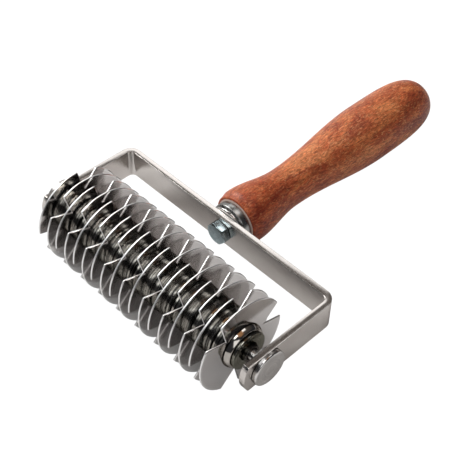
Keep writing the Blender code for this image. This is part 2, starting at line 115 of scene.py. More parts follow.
def start_effect(name, inputs, outputs):
    """A node group with named values going in and named masks or heights coming out."""
    tree = bpy.data.node_groups.new(name, "ShaderNodeTree")
    for label, value in inputs.items():
        socket = tree.interface.new_socket(name=label, in_out="INPUT", socket_type="NodeSocketFloat")
        socket.default_value = value
    for label in outputs:
        tree.interface.new_socket(name=label, in_out="OUTPUT", socket_type="NodeSocketFloat")
    return tree, tree.nodes.new("NodeGroupInput").outputs, tree.nodes.new("NodeGroupOutput").inputs


def turning_marks_effect(name, turn):
    """Fine rings that a lathe tool or a polishing wheel leaves round a turned piece."""
    tree, given, result = start_effect(name, {"Ring Spacing": 0.0004}, ("Rings", "Bands"))
    places = add_node(tree, "ShaderNodeSeparateXYZ", {"Vector": place_on_tool(tree, turn)}).outputs
    radius = distance_from_line(tree, places["Y"], places["Z"])
    travel = work_out(tree, "ADD", places["X"], work_out(tree, "MULTIPLY", radius, FACE_FEED))
    count = work_out(tree, "DIVIDE", travel, given["Ring Spacing"])
    for label, scale, detail in (("Rings", 1.0, 2.0), ("Bands", 0.5, 1.0)):
        marks = add_node(tree, "ShaderNodeTexNoise", {"W": count, "Scale": scale, "Detail": detail},
                         noise_dimensions="1D")
        tree.links.new(marks.outputs[0], result[label])
    return tree


def handling_effect():
    """Cloudy smudges and fine specks that hands, oil and washing leave on a surface."""
    tree, given, result = start_effect("handling_marks", {"Cloud Size": CLOUD_SIZE}, ("Smudge", "Speckle"))
    place = place_on_tool(tree)
    per_cloud = work_out(tree, "DIVIDE", 1.0, given["Cloud Size"])
    cloud = add_node(tree, "ShaderNodeTexNoise", {"Vector": place, "Scale": per_cloud, "Detail": 3.0,
                                                  "Roughness": 0.55, "Distortion": 0.6})
    specks = add_node(tree, "ShaderNodeTexNoise", {"Vector": place, "Scale": SPECKS_PER_METRE,
                                                   "Detail": 2.0})
    tree.links.new(cloud.outputs[0], result["Smudge"])
    tree.links.new(specks.outputs[0], result["Speckle"])
    return tree


turned_on_axle = turning_marks_effect("turning_marks_on_axle", (0.0, 0.0, 0.0))
handling_marks = handling_effect()


def start_finish(name, cloud_size):
    """A new material with the marks of handling in it."""
    material = bpy.data.materials.new(name)
    material.use_nodes = True
    tree = material.node_tree
    hands = add_node(tree, "ShaderNodeGroup", {"Cloud Size": cloud_size}, node_tree=handling_marks)
    return material, tree, hands.outputs


def feed_shader(tree, colour, roughness, relief, plain_values):
    """Give a material's shader its colour, roughness and relief, and values that are the same all over."""
    shader = tree.nodes["Principled BSDF"]
    for socket, value in plain_values.items():
        shader.inputs[socket].default_value = value
    bump = add_node(tree, "ShaderNodeBump", relief)
    for socket, feed in (("Base Color", colour), ("Roughness", roughness), ("Normal", bump.outputs[0])):
        tree.links.new(feed, shader.inputs[socket])


def turned_steel(name, pale, deep, polish, cloudiness, ring_spacing, ring_depth, marks=turned_on_axle,
                 streak_share=0.4):
    """Bare metal off the lathe: two tones, a polish that smudges dull, and rings of a given depth."""
    material, tree, hands = start_finish(name, CLOUD_SIZE)
    rings = add_node(tree, "ShaderNodeGroup", {"Ring Spacing": ring_spacing}, node_tree=marks).outputs
    mottle = work_out(tree, "MULTIPLY_ADD", hands["Smudge"], 1.0 - streak_share,
                      work_out(tree, "MULTIPLY", rings["Bands"], streak_share))
    tone = spread(tree, mottle, 0.36, 0.64)
    dulling = spread(tree, hands["Smudge"], 0.35, 0.75, polish, polish + cloudiness)
    feed_shader(tree, blend(tree, tone, (*deep, 1.0), (*pale, 1.0)), dulling,
                {"Height": rings["Rings"], "Strength": 0.6, "Distance": ring_depth}, BARE_METAL)
    return material


def corner_radius(across_flats):
    """From the middle of a hexagon to its corners."""
    return across_flats / 2 / math.cos(math.pi / 6)


def only(kind, geom):
    """The verts or edges among what a bmesh operator gives back."""
    return [item for item in geom if isinstance(item, kind)]


def draw_out(bm, rim, move, size=1.0):
    """Draw an open rim out by a move, grown or shrunk about the axle, and return the new rim."""
    grown = bmesh.ops.extrude_edge_only(bm, edges=rim)["geom"]
    verts = only(bmesh.types.BMVert, grown)
    bmesh.ops.scale(bm, vec=(1.0, size, size), verts=verts)
    bmesh.ops.translate(bm, vec=move, verts=verts)
    return only(bmesh.types.BMEdge, grown)


def thicken(bm, move):
    """Make the faces of a flat mesh into a solid by drawing them out by a move."""
    grown = bmesh.ops.extrude_face_region(bm, geom=list(bm.faces))["geom"]
    bmesh.ops.translate(bm, vec=move, verts=only(bmesh.types.BMVert, grown))


def ease_corners(bm, width, segments=2):
    """Round every sharp corner a little, as tumbling or a file does."""
    bmesh.ops.remove_doubles(bm, verts=bm.verts, dist=SAME_POINT)
    bmesh.ops.recalc_face_normals(bm, faces=bm.faces)
    corners = [edge for edge in bm.edges if edge.is_manifold and edge.calc_face_angle() > CORNER_ANGLE]
    bmesh.ops.bevel(bm, geom=corners, offset=width, offset_type="OFFSET", segments=segments,
                    profile=0.5, affect="EDGES", clamp_overlap=True, material=-1)


def fit_piece(node, bm, finishes, body, smooth=True):
    """Set a finished mesh in the tool where its CAD node is, riding on the node's body."""
    bmesh.ops.remove_doubles(bm, verts=bm.verts, dist=SAME_POINT)
    bmesh.ops.recalc_face_normals(bm, faces=bm.faces)
    bm.transform(tool_place)
    mesh = bpy.data.meshes.new(f"{node}_finished")
    bm.to_mesh(mesh)
    bm.free()
    if smooth:
        mesh.shade_smooth()
        mesh.set_sharp_from_angle(angle=SMOOTH_ANGLE)
    for finish in finishes:
        mesh.materials.append(finish)
    piece = bpy.data.objects.new(f"{node}_finished", mesh)
    bpy.context.scene.collection.objects.link(piece)
    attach(piece, body)
    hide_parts(node)


# painted shade: the core is coloured near black, for the dark recess between each flange and its arm
core_steel = turned_steel("near_black_core_painted_shade", pale=(0.17, 0.16, 0.15), deep=(0.09, 0.09, 0.085),
                          polish=0.16, cloudiness=0.12, ring_spacing=0.0005, ring_depth=0.000002)
neck_face_radius = CORE_NECK_RADIUS - CORE_NECK_CHAMFER
core = bmesh.new()
bmesh.ops.create_circle(core, segments=6, radius=corner_radius(CORE_ACROSS_FLATS), matrix=across_axle)
body_end = draw_out(core, list(core.edges), (CORE_BODY_HALF, 0, 0))
neck = bmesh.ops.create_circle(core, segments=CORE_SIDES, radius=CORE_NECK_RADIUS,
                               matrix=Matrix.Translation((CORE_BODY_HALF, 0, 0)) @ across_axle)["verts"]
neck_rim = list(dict.fromkeys(edge for vert in neck for edge in vert.link_edges))
bmesh.ops.triangle_fill(core, edges=body_end + neck_rim, use_beauty=True)
neck_rim = draw_out(core, neck_rim, (CORE_NECK_END - CORE_NECK_CHAMFER - CORE_BODY_HALF, 0, 0))
neck_rim = draw_out(core, neck_rim, (CORE_NECK_CHAMFER, 0, 0), neck_face_radius / CORE_NECK_RADIUS)
neck_rim = draw_out(core, neck_rim, (0, 0, 0), AXLE_BORE_RADIUS / neck_face_radius)
draw_out(core, neck_rim, (-CORE_NECK_END, 0, 0))
bmesh.ops.mirror(core, geom=list(core.verts) + list(core.edges) + list(core.faces), axis="X",
                 merge_dist=SAME_POINT)
bmesh.ops.rotate(core, verts=core.verts, cent=(0, 0, 0), matrix=Matrix.Rotation(ROLLER_TURN, 3, "X"))
bmesh.ops.translate(core, verts=core.verts, vec=(ROLLER_SLIDE, 0, 0))
fit_piece("roller_core", core, [core_steel], "roller")


# Blades
# Eighteen discs punched from thin stainless strip, each with three V notches and a six-sided hole.
# Every second one sits a sixth of a turn round, so that the cuts in the dough don't line up.
BLADE_COUNT = 18
BLADE_RADIUS = 0.0250
BLADE_THICKNESS = 0.0010
BLADE_PITCH = 0.00688
FIRST_BLADE = -0.05848                # middle of the left blade on the core
NOTCHES = 3
NOTCH_ROOT_RADIUS = 0.0138
NOTCH_HALF_MOUTH = math.asin(0.0059 / BLADE_RADIUS)
BLADE_HOLE_ACROSS_FLATS = 0.0126
BLADE_ARC_STEPS = 48
BLADE_BURR = 0.00026                  # how far the punched edge is broken
BLADE_LEAN = math.radians(0.22)       # the most that a blade leans on the core
GROUND_START = 0.0239                 # the ground band runs from about here to the rim
GROUND_FADE = 0.0002
FLAT_FACING = 0.95                    # a face that looks along the axle by more than this is flat
RIM_FACING = 0.2                      # and one by less than this is part of the cut edge
BLADE_DEEP = (0.67, 0.65, 0.64, 1.0)
BLADE_PALE = (0.76, 0.74, 0.73, 1.0)
BLADE_GROUND = (0.80, 0.79, 0.78, 1.0)
# the cut edge's tones are partly the bright shear and partly a painted highlight on the rims
CUT_DEEP = (0.88, 0.87, 0.86, 1.0)
CUT_PALE = (0.99, 0.99, 0.99, 1.0)


def streaks_effect():
    """Streaks that rolling or brushing leaves, so many to a metre along each of the tool's axes."""
    usual = {"Along Axle": 100.0, "Along Handle": 100.0, "Upward": 100.0, "Detail": 3.0}
    tree, given, result = start_effect("streaks", usual, ("Streaks",))
    per_metre = add_node(tree, "ShaderNodeCombineXYZ",
                         {"X": given["Along Axle"], "Y": given["Along Handle"], "Z": given["Upward"]})
    drawn = add_node(tree, "ShaderNodeMapping", {"Vector": place_on_tool(tree),
                                                 "Scale": per_metre.outputs[0]})
    streaks = add_node(tree, "ShaderNodeTexNoise", {"Vector": drawn.outputs[0], "Scale": 1.0,
                                                    "Detail": given["Detail"], "Roughness": 0.6})
    tree.links.new(streaks.outputs[0], result["Streaks"])
    return tree


drawn_streaks = streaks_effect()


def blade_face_finish():
    """Rolled stainless: soft satin, faint rolling streaks, a finer ground band along the rim."""
    material, tree, hands = start_finish("satin_blade_steel", 0.012)
    streaks = add_node(tree, "ShaderNodeGroup",
                       {"Along Axle": 400.0, "Along Handle": 60.0, "Upward": 1500.0, "Detail": 4.0},
                       node_tree=drawn_streaks).outputs[0]
    tone = work_out(tree, "MULTIPLY_ADD", hands["Smudge"], 0.7, work_out(tree, "MULTIPLY", streaks, 0.3))
    places = add_node(tree, "ShaderNodeSeparateXYZ", {"Vector": place_on_tool(tree)}).outputs
    radius = distance_from_line(tree, places["Y"], places["Z"])
    ground = spread(tree, radius, GROUND_START, GROUND_START + GROUND_FADE)
    colour = blend(tree, ground, blend(tree, tone, BLADE_DEEP, BLADE_PALE), BLADE_GROUND)
    feed_shader(tree, colour, spread(tree, tone, 0.3, 0.7, 0.09, 0.12),
                {"Height": streaks, "Strength": 0.5, "Distance": 0.0000005}, BARE_METAL)
    return material


def cut_edge_finish():
    """The sheared edge of the strip, rougher than its faces and slightly torn. Its near-white tone is
    partly its own bright shear and partly a painted highlight, for the light that the rims catch.
    """
    material, tree, hands = start_finish("cut_edge_painted_highlight", 0.0015)
    feed_shader(tree, blend(tree, hands["Smudge"], CUT_DEEP, CUT_PALE),
                spread(tree, hands["Speckle"], low=0.38, high=0.55),
                {"Height": hands["Speckle"], "Strength": 0.4, "Distance": 0.00001}, BARE_METAL)
    return material


def punch_blade():
    """One blade across the axle at the tool's middle, its first notch towards the handle."""
    blade = bmesh.new()
    root = blade.verts.new((0, NOTCH_ROOT_RADIUS, 0))
    corner = blade.verts.new((0, BLADE_RADIUS * math.cos(NOTCH_HALF_MOUTH),
                              BLADE_RADIUS * math.sin(NOTCH_HALF_MOUTH)))
    blade.edges.new((root, corner))
    notch_step = math.tau / NOTCHES
    rim = bmesh.ops.spin(blade, geom=[corner], cent=(0, 0, 0), axis=(1, 0, 0), steps=BLADE_ARC_STEPS,
                         angle=notch_step - 2 * NOTCH_HALF_MOUTH)["geom_last"]
    next_root = blade.verts.new(Matrix.Rotation(notch_step, 3, "X") @ root.co)
    blade.edges.new((rim[0], next_root))
    bmesh.ops.spin(blade, geom=list(blade.verts) + list(blade.edges), cent=(0, 0, 0), axis=(1, 0, 0),
                   steps=NOTCHES - 1, angle=notch_step * (NOTCHES - 1), use_duplicate=True)
    bmesh.ops.remove_doubles(blade, verts=blade.verts, dist=SAME_POINT)
    bmesh.ops.create_circle(blade, segments=6, radius=corner_radius(BLADE_HOLE_ACROSS_FLATS),
                            matrix=across_axle)
    bmesh.ops.triangle_fill(blade, edges=blade.edges, use_beauty=True)
    bmesh.ops.translate(blade, verts=blade.verts, vec=(-BLADE_THICKNESS / 2, 0, 0))
    thicken(blade, (BLADE_THICKNESS, 0, 0))
    ease_corners(blade, BLADE_BURR, 1)
    for face in blade.faces:
        face.smooth = abs(face.normal.x) < FLAT_FACING
        face.material_index = 1 if abs(face.normal.x) < RIM_FACING else 0
    return blade


blade_faces = blade_face_finish()
cut_edges = cut_edge_finish()
for number in range(BLADE_COUNT):
    blade = punch_blade()
    turn = ROLLER_TURN + (BLADE_COUNT - 1 - number) % 2 * math.pi / NOTCHES
    # uneven steps from blade to blade, so that each leans its own way
    lean_back = BLADE_LEAN * math.sin(2.4 * number + 0.7)
    lean_side = BLADE_LEAN * math.cos(1.7 * number + 0.3)
    lean = Matrix.Rotation(lean_side, 3, "Z") @ Matrix.Rotation(lean_back, 3, "Y")
    bmesh.ops.rotate(blade, verts=blade.verts, cent=(0, 0, 0), matrix=lean @ Matrix.Rotation(turn, 3, "X"))
    bmesh.ops.translate(blade, verts=blade.verts,
                        vec=(ROLLER_SLIDE + FIRST_BLADE + number * BLADE_PITCH, 0, 0))
    fit_piece(f"blade_{number + 1:02d}", blade, [blade_faces, cut_edges], "roller", smooth=False)


# Spacer rings
# Seventeen rings turned from stainless bar and polished bright, one between each pair of blades.
# They slide on the core and are clamped with the blades from both ends.
SPACER_RADIUS = 0.0130
SPACER_BORE_RADIUS = 0.007228
SPACER_HALF_LENGTH = 0.00264
SPACER_ROUND = 0.0005
RING_SIDES = 96


def turn_piece(section, sides=RING_SIDES, closed=True):
    """Turn a section of (place along the axle, radius) about the axle.

    A closed section makes a ring. An open one starts and ends on the axle's line and makes a solid.
    """
    turned = bmesh.new()
    verts = [turned.verts.new((along, radius, 0)) for along, radius in section]
    if closed:
        turned.edges.new((verts[-1], verts[0]))
    for first, second in zip(verts, verts[1:]):
        turned.edges.new((first, second))
    bmesh.ops.spin(turned, geom=list(turned.verts) + list(turned.edges), cent=(0, 0, 0), axis=(1, 0, 0),
                   steps=sides, angle=math.tau, use_merge=True)
    bmesh.ops.remove_doubles(turned, verts=turned.verts, dist=SAME_POINT)
    return turned


def ring_section(start, end, bore, radius):
    """Square section of a plain ring."""
    return [(start, bore), (start, radius), (end, radius), (end, bore)]


# partly real turning rings, mostly a painted reflection: the colour runs in near-black and pale rings along
# the axle, for the dark room and the bright streaks that the polish mirrors
spacer_polish_painted_streaks = turned_steel("polished_spacer_painted_streaks", pale=(0.72, 0.72, 0.66), deep=(0.035, 0.038, 0.039),
                             polish=0.14, cloudiness=0.04, ring_spacing=0.0005, ring_depth=0.000004,
                             streak_share=0.96)
for number in range(BLADE_COUNT - 1):
    middle = ROLLER_SLIDE + FIRST_BLADE + (number + 0.5) * BLADE_PITCH
    spacer = turn_piece(ring_section(middle - SPACER_HALF_LENGTH, middle + SPACER_HALF_LENGTH,
                                     SPACER_BORE_RADIUS, SPACER_RADIUS))
    ease_corners(spacer, SPACER_ROUND, 4)
    fit_piece(f"spacer_{number + 1:02d}", spacer, [spacer_polish_painted_streaks], "roller")


# End hubs
# Two short tapered collars, turned from stainless and polished, that clamp the stack of blades.
# Each sits on the flats of the core, its wide side against the outer blade.
HUB_START = 0.05928
HUB_END = 0.06208
HUB_RADIUS = 0.0119
HUB_NOSE_RADIUS = 0.0106
HUB_ROUND = 0.00035
ENDS = (("left", -1), ("right", 1))


def at_end(section, hand, slide=0.0):
    """A section moved to the left end (-1) or the right end (1) of the axle."""
    return [(slide + hand * along, radius) for along, radius in section]


hub_polish = turned_steel("polished_hub_steel", pale=(0.62, 0.59, 0.55), deep=(0.42, 0.39, 0.36),
                          polish=0.08, cloudiness=0.08, ring_spacing=0.0005, ring_depth=0.000003)
hub_section = [(HUB_START, SPACER_BORE_RADIUS), (HUB_START, HUB_RADIUS), (HUB_END, HUB_NOSE_RADIUS),
               (HUB_END, SPACER_BORE_RADIUS)]
for side, hand in ENDS:
    hub = turn_piece(at_end(hub_section, hand, ROLLER_SLIDE))
    ease_corners(hub, HUB_ROUND, 3)
    fit_piece(f"end_hub_{side}", hub, [hub_polish], "roller")


# End flanges
# Two thin stainless discs pressed on the necks of the core, which lock the hubs in place.
# They are turned, with a small round on both rims, and left with a fine turned face.
FLANGE_START = 0.06238
FLANGE_END = 0.06378
FLANGE_RADIUS = 0.0100
FLANGE_BORE_RADIUS = 0.0049
FLANGE_ROUND = 0.0003

# painted shade: the flange is coloured darker than its steel, for the dark that its face reflects in the
# recess before the arm
flange_face = turned_steel("turned_flange_painted_shade", pale=(0.34, 0.33, 0.29), deep=(0.20, 0.20, 0.17),
                           polish=0.10, cloudiness=0.06, ring_spacing=0.0004, ring_depth=0.000003)
flange_section = ring_section(FLANGE_START, FLANGE_END, FLANGE_BORE_RADIUS, FLANGE_RADIUS)
for side, hand in ENDS:
    flange = turn_piece(at_end(flange_section, hand, ROLLER_SLIDE))
    ease_corners(flange, FLANGE_ROUND, 3)
    fit_piece(f"end_flange_{side}", flange, [flange_face], "roller")


# Axle and cap nut
# A stainless pin with a low domed head outside the right arm, and a cap nut of the same shape
# outside the left arm, which is screwed on the pin's end. Both are turned and rubbed bright.
AXLE_RADIUS = 0.0030
AXLE_TIP = 0.07503
AXLE_TIP_CHAMFER = 0.0004
HEAD_BACK = 0.07343
HEAD_RADIUS = 0.0093
HEAD_RIM = 0.0015
HEAD_ROUND_HEIGHT = 0.0009
HEAD_ROUND_WIDTH = 0.0010
HEAD_ROUND_STEPS = 14
HEAD_CROWN = 0.0002                   # how far the face bulges in the middle
CROWN_PLACE = 0.55                    # share of the face's radius where the crown bends
CROWN_HEIGHT = 0.7                    # share of the crown's height that is left there
HEAD_BACK_BREAK = 0.00015
NUT_BORE_DEPTH = 0.0019


def domed_head_section():
    """From the middle of the face, over the round and down the rim to the back of the head."""
    rim = HEAD_BACK + HEAD_RIM
    face_radius = HEAD_RADIUS - HEAD_ROUND_WIDTH
    section = [(rim + HEAD_ROUND_HEIGHT + HEAD_CROWN, 0.0),
               (rim + HEAD_ROUND_HEIGHT + HEAD_CROWN * CROWN_HEIGHT, face_radius * CROWN_PLACE)]
    for step in range(HEAD_ROUND_STEPS + 1):
        angle = math.pi / 2 * (1 - step / HEAD_ROUND_STEPS)
        section.append((rim + HEAD_ROUND_HEIGHT * math.sin(angle),
                        HEAD_RADIUS - HEAD_ROUND_WIDTH * (1 - math.cos(angle))))
    section += [(HEAD_BACK + HEAD_BACK_BREAK, HEAD_RADIUS), (HEAD_BACK, HEAD_RADIUS - HEAD_BACK_BREAK)]
    return section


head_steel = turned_steel("rubbed_head_steel", pale=(0.78, 0.76, 0.74), deep=(0.58, 0.565, 0.55),
                          polish=0.18, cloudiness=0.12, ring_spacing=0.0005, ring_depth=0.000004)
axle_section = domed_head_section() + [(HEAD_BACK, AXLE_RADIUS), (AXLE_TIP_CHAMFER - AXLE_TIP, AXLE_RADIUS),
                                       (-AXLE_TIP, AXLE_RADIUS - AXLE_TIP_CHAMFER), (-AXLE_TIP, 0.0)]
axle = turn_piece(axle_section, closed=False)
fit_piece("axle", axle, [head_steel], "frame")
nut_section = domed_head_section() + [(HEAD_BACK, AXLE_BORE_RADIUS),
                                      (HEAD_BACK + NUT_BORE_DEPTH, AXLE_BORE_RADIUS),
                                      (HEAD_BACK + NUT_BORE_DEPTH, 0.0)]
cap_nut = turn_piece(at_end(nut_section, -1), closed=False)
fit_piece("cap_nut", cap_nut, [head_steel], "frame")


# Thrust washers
# Two thin stainless washers on the axle, one inside each arm, that the turning roller runs against.
# They are punched and tumbled, so that their edges are soft.
THRUST_WASHER_INNER = 0.06853
THRUST_WASHER_OUTER = 0.06953
THRUST_WASHER_RADIUS = 0.0071
WASHER_SIDES = 64
WASHER_ROUND = 0.0002

washer_steel = turned_steel("tumbled_washer_steel", pale=(0.78, 0.77, 0.76), deep=(0.58, 0.57, 0.56),
                            polish=0.22, cloudiness=0.16, ring_spacing=0.0006, ring_depth=0.000003)
washer_section = ring_section(THRUST_WASHER_INNER, THRUST_WASHER_OUTER, AXLE_BORE_RADIUS,
                              THRUST_WASHER_RADIUS)
for side, hand in ENDS:
    washer = turn_piece(at_end(washer_section, hand), WASHER_SIDES)
    ease_corners(washer, WASHER_ROUND)
    fit_piece(f"thrust_washer_{side}", washer, [washer_steel], "frame")


# Yoke
# A flat stainless strap, rolled, sheared to width and bent to a U over a small radius.
# It is drilled through both arms for the axle and through the bridge for the handle's bolt.
ARM_INNER = 0.06983
ARM_OUTER = 0.07313
ARM_END_RADIUS = 0.0137               # the free ends are rounded about the axle
STRAP_HALF_WIDTH = 0.0082
BEND_CENTRE = (0.06683, 0.0396)
BEND_STEPS = 24
STRAP_EASE = 0.00035
BRIDGE_FRONT = 0.0426
BRIDGE_BACK = 0.0459
BOLT_HOLE_RADIUS = 0.00345
DRILL_OVERRUN = 0.0020                # how far a cutter or a joined piece runs on past the face it meets
DRILL_SIDES = 64
STRAP_GRAIN = 0.00005                 # depth of the brushed grain
STRAP_DEEP = (0.56, 0.525, 0.50, 1.0)
STRAP_PALE = (0.74, 0.71, 0.68, 1.0)


def strap_finish():
    """Rolled and brushed strap: a grain along its length round the bends, and cloudy dull patches."""
    material, tree, hands = start_finish("brushed_strap_steel", 0.014)
    streaks = add_node(tree, "ShaderNodeGroup",
                       {"Along Axle": 30.0, "Along Handle": 30.0, "Upward": 4600.0, "Detail": 3.0},
                       node_tree=drawn_streaks).outputs[0]
    tone = work_out(tree, "MULTIPLY_ADD", hands["Smudge"], 0.65, work_out(tree, "MULTIPLY", streaks, 0.35))
    feed_shader(tree, blend(tree, tone, STRAP_DEEP, STRAP_PALE), spread(tree, tone, 0.3, 0.7, 0.12, 0.20),
                {"Height": streaks, "Strength": 1.0, "Distance": STRAP_GRAIN}, BARE_METAL)
    return material


def machine(bm, tools, operation):
    """Cut a solid with drills, keep what it shares with a form, or join a solid to it."""
    work = bpy.data.objects.new("work", bpy.data.meshes.new("work"))
    bm.to_mesh(work.data)
    bm.free()
    bpy.context.scene.collection.objects.link(work)
    tool_objects = []
    for tool in tools:
        bmesh.ops.recalc_face_normals(tool, faces=tool.faces)
        tool_object = bpy.data.objects.new("tool", bpy.data.meshes.new("tool"))
        tool.to_mesh(tool_object.data)
        tool.free()
        bpy.context.scene.collection.objects.link(tool_object)
        cut = work.modifiers.new("cut", "BOOLEAN")
        cut.operation = operation
        cut.object = tool_object
        cut.solver = "EXACT"
        tool_objects.append(tool_object)
    bpy.context.view_layer.update()
    left = bmesh.new()
    left.from_object(work, bpy.context.evaluated_depsgraph_get())
    for used in [work] + tool_objects:
        spent = used.data
        bpy.data.objects.remove(used)
        bpy.data.meshes.remove(spent)
    return left


def about_handle(bm):
    """Turn a mesh made along the axle so that it lies along the handle."""
    bmesh.ops.rotate(bm, verts=bm.verts, cent=(0, 0, 0), matrix=Matrix.Rotation(math.pi / 2, 3, "Z"))
    return bm


def drill(start, end, radius):
    """A round cutter along the axle that runs on past both ends of what it drills."""
    near = start - DRILL_OVERRUN
    far = end + DRILL_OVERRUN
    return turn_piece([(near, 0), (near, radius), (far, radius), (far, 0)], DRILL_SIDES, closed=False)


def bend_strap(bm, rim, centre_x):
    """Bend the strap a quarter turn to the left round a centre, and return its new end."""
    bent = bmesh.ops.spin(bm, geom=rim, cent=(centre_x, BEND_CENTRE[1], 0), axis=(0, 0, 1),
                          angle=math.pi / 2, steps=BEND_STEPS)["geom_last"]
    return only(bmesh.types.BMEdge, bent)


blank_end = -ARM_END_RADIUS - DRILL_OVERRUN
arm_length = BEND_CENTRE[1] - blank_end
strap = bmesh.new()
corners = [strap.verts.new((x, blank_end, z)) for x, z in
           ((ARM_INNER, -STRAP_HALF_WIDTH), (ARM_OUTER, -STRAP_HALF_WIDTH),
            (ARM_OUTER, STRAP_HALF_WIDTH), (ARM_INNER, STRAP_HALF_WIDTH))]
strap_end = [strap.edges.new((corners[number - 1], corners[number])) for number in range(4)]
strap_end = draw_out(strap, strap_end, (0, arm_length, 0))
strap_end = bend_strap(strap, strap_end, BEND_CENTRE[0])
strap_end = draw_out(strap, strap_end, (-2 * BEND_CENTRE[0], 0, 0))
strap_end = bend_strap(strap, strap_end, -BEND_CENTRE[0])
draw_out(strap, strap_end, (0, -arm_length, 0))
bmesh.ops.holes_fill(strap, edges=[edge for edge in strap.edges if edge.is_boundary], sides=4)

end_form = bmesh.new()
end_angle = math.asin((STRAP_HALF_WIDTH + DRILL_OVERRUN) / ARM_END_RADIUS)
end_start = Matrix.Rotation(math.pi - end_angle, 3, "X")
form_edge = [end_form.verts.new(end_start @ Vector((-ARM_OUTER - DRILL_OVERRUN, radius, 0)))
             for radius in (ARM_END_RADIUS, ARM_END_RADIUS + 3 * DRILL_OVERRUN)]
end_form.edges.new(form_edge)
bmesh.ops.spin(end_form, geom=form_edge + list(end_form.edges), cent=(0, 0, 0), axis=(1, 0, 0),
               steps=BEND_STEPS, angle=2 * end_angle)
thicken(end_form, (2 * (ARM_OUTER + DRILL_OVERRUN), 0, 0))
strap = machine(strap, [end_form], "DIFFERENCE")
ease_corners(strap, STRAP_EASE, 4)
axle_drill = drill(-ARM_OUTER, ARM_OUTER, AXLE_BORE_RADIUS)
bolt_drill = about_handle(drill(BRIDGE_FRONT, BRIDGE_BACK, BOLT_HOLE_RADIUS))
strap = machine(strap, [axle_drill, bolt_drill], "DIFFERENCE")
fit_piece("frame_yoke", strap, [strap_finish()], "frame")


# Hex bolt
# A zinc-plated steel bolt with a bluish passivated skin, its head inside the yoke.
# It is cold-headed, with a chamfered face, and clamps the bridge to the ferrule and the handle.
BOLT_HEAD_FRONT = 0.0380
BOLT_SEAT = 0.0423
BOLT_ACROSS_FLATS = 0.0111
BOLT_HEAD_TURN = math.radians(-12.0)
BOLT_FACE_RADIUS = 0.94 * BOLT_ACROSS_FLATS / 2
BOLT_CHAMFER_SLOPE = math.tan(math.radians(30.0))
BOLT_FORM_RADIUS = 0.0111             # the chamfering form is wider than the head's corners
BOLT_RADIUS = 0.00315
BOLT_TIP = 0.0687
BOLT_TIP_CHAMFER = 0.0006
BOLT_EASE = 0.00018
BOLT_SIDES = 48
ZINC_DEEP = (0.27, 0.37, 0.41, 1.0)
ZINC_PALE = (0.80, 0.92, 0.96, 1.0)


def bolt_finish():
    """Zinc plating: blue-grey with cloudy passivation, a soft sheen and a fine crystalline grain."""
    material, tree, hands = start_finish("zinc_plated_bolt", 0.0022)
    feed_shader(tree, blend(tree, hands["Smudge"], ZINC_DEEP, ZINC_PALE),
                spread(tree, hands["Smudge"], low=0.13, high=0.24),
                {"Height": hands["Speckle"], "Strength": 0.4, "Distance": 0.00001}, BARE_METAL)
    return material


head_place = Matrix.Translation((0, BOLT_HEAD_FRONT, 0)) @ Matrix.Rotation(math.pi / 2, 4, "X")
bolt = bmesh.new()
bmesh.ops.create_circle(bolt, segments=6, radius=corner_radius(BOLT_ACROSS_FLATS), cap_ends=True,
                        matrix=head_place @ Matrix.Rotation(BOLT_HEAD_TURN + math.pi / 2, 4, "Z"))
thicken(bolt, (0, BOLT_SEAT - BOLT_HEAD_FRONT, 0))
bmesh.ops.recalc_face_normals(bolt, faces=bolt.faces)
form_back = BOLT_SEAT + DRILL_OVERRUN
form_length = (BOLT_FORM_RADIUS - BOLT_FACE_RADIUS) * BOLT_CHAMFER_SLOPE
chamfer_form = turn_piece([(BOLT_HEAD_FRONT, 0), (BOLT_HEAD_FRONT, BOLT_FACE_RADIUS),
                           (BOLT_HEAD_FRONT + form_length, BOLT_FORM_RADIUS), (form_back, BOLT_FORM_RADIUS),
                           (form_back, 0)], closed=False)
bolt = machine(bolt, [about_handle(chamfer_form)], "INTERSECT")
ease_corners(bolt, BOLT_EASE)
shank_start = BOLT_SEAT - DRILL_OVERRUN
shank = turn_piece([(shank_start, 0), (shank_start, BOLT_RADIUS),
                    (BOLT_TIP - BOLT_TIP_CHAMFER, BOLT_RADIUS), (BOLT_TIP, BOLT_RADIUS - BOLT_TIP_CHAMFER),
                    (BOLT_TIP, 0)], BOLT_SIDES, closed=False)
bolt = machine(bolt, [about_handle(shank)], "UNION")
fit_piece("hex_bolt", bolt, [bolt_finish()], "frame")


# Ferrule washer
# A thin stainless washer between the back of the bridge and the ferrule.
# It is punched and tumbled like the washers on the axle.
FERRULE_WASHER_FRONT = 0.0462
FERRULE_WASHER_BACK = 0.0470
FERRULE_WASHER_RADIUS = 0.0107

turned_on_handle = turning_marks_effect("turning_marks_on_handle", (0.0, 0.0, -math.pi / 2))
ferrule_washer_steel = turned_steel("tumbled_ferrule_washer_steel", pale=(0.90, 0.89, 0.88),
                                    deep=(0.74, 0.73, 0.72), polish=0.20, cloudiness=0.12,
                                    ring_spacing=0.0006, ring_depth=0.000003, marks=turned_on_handle)
ferrule_washer = about_handle(turn_piece(ring_section(FERRULE_WASHER_FRONT, FERRULE_WASHER_BACK,
                                                      BOLT_HOLE_RADIUS, FERRULE_WASHER_RADIUS)))
ease_corners(ferrule_washer, WASHER_ROUND)
fit_piece("ferrule_washer", ferrule_washer, [ferrule_washer_steel], "frame")


# Ferrule
# A short polished steel cup that holds the tenon of the wood together round the bolt.
# It is turned, with a chamfer in front and a broken edge where the wood's shoulder meets it.
FERRULE_FRONT = 0.0473
FERRULE_FLOOR = 0.0489
FERRULE_BACK = 0.0519
FERRULE_RADIUS = 0.0116
FERRULE_CUP_RADIUS = 0.0092
FERRULE_CHAMFER = 0.0008
FERRULE_LIP = 0.0003
FERRULE_ROUND = 0.00018
FERRULE_SIDES = 128

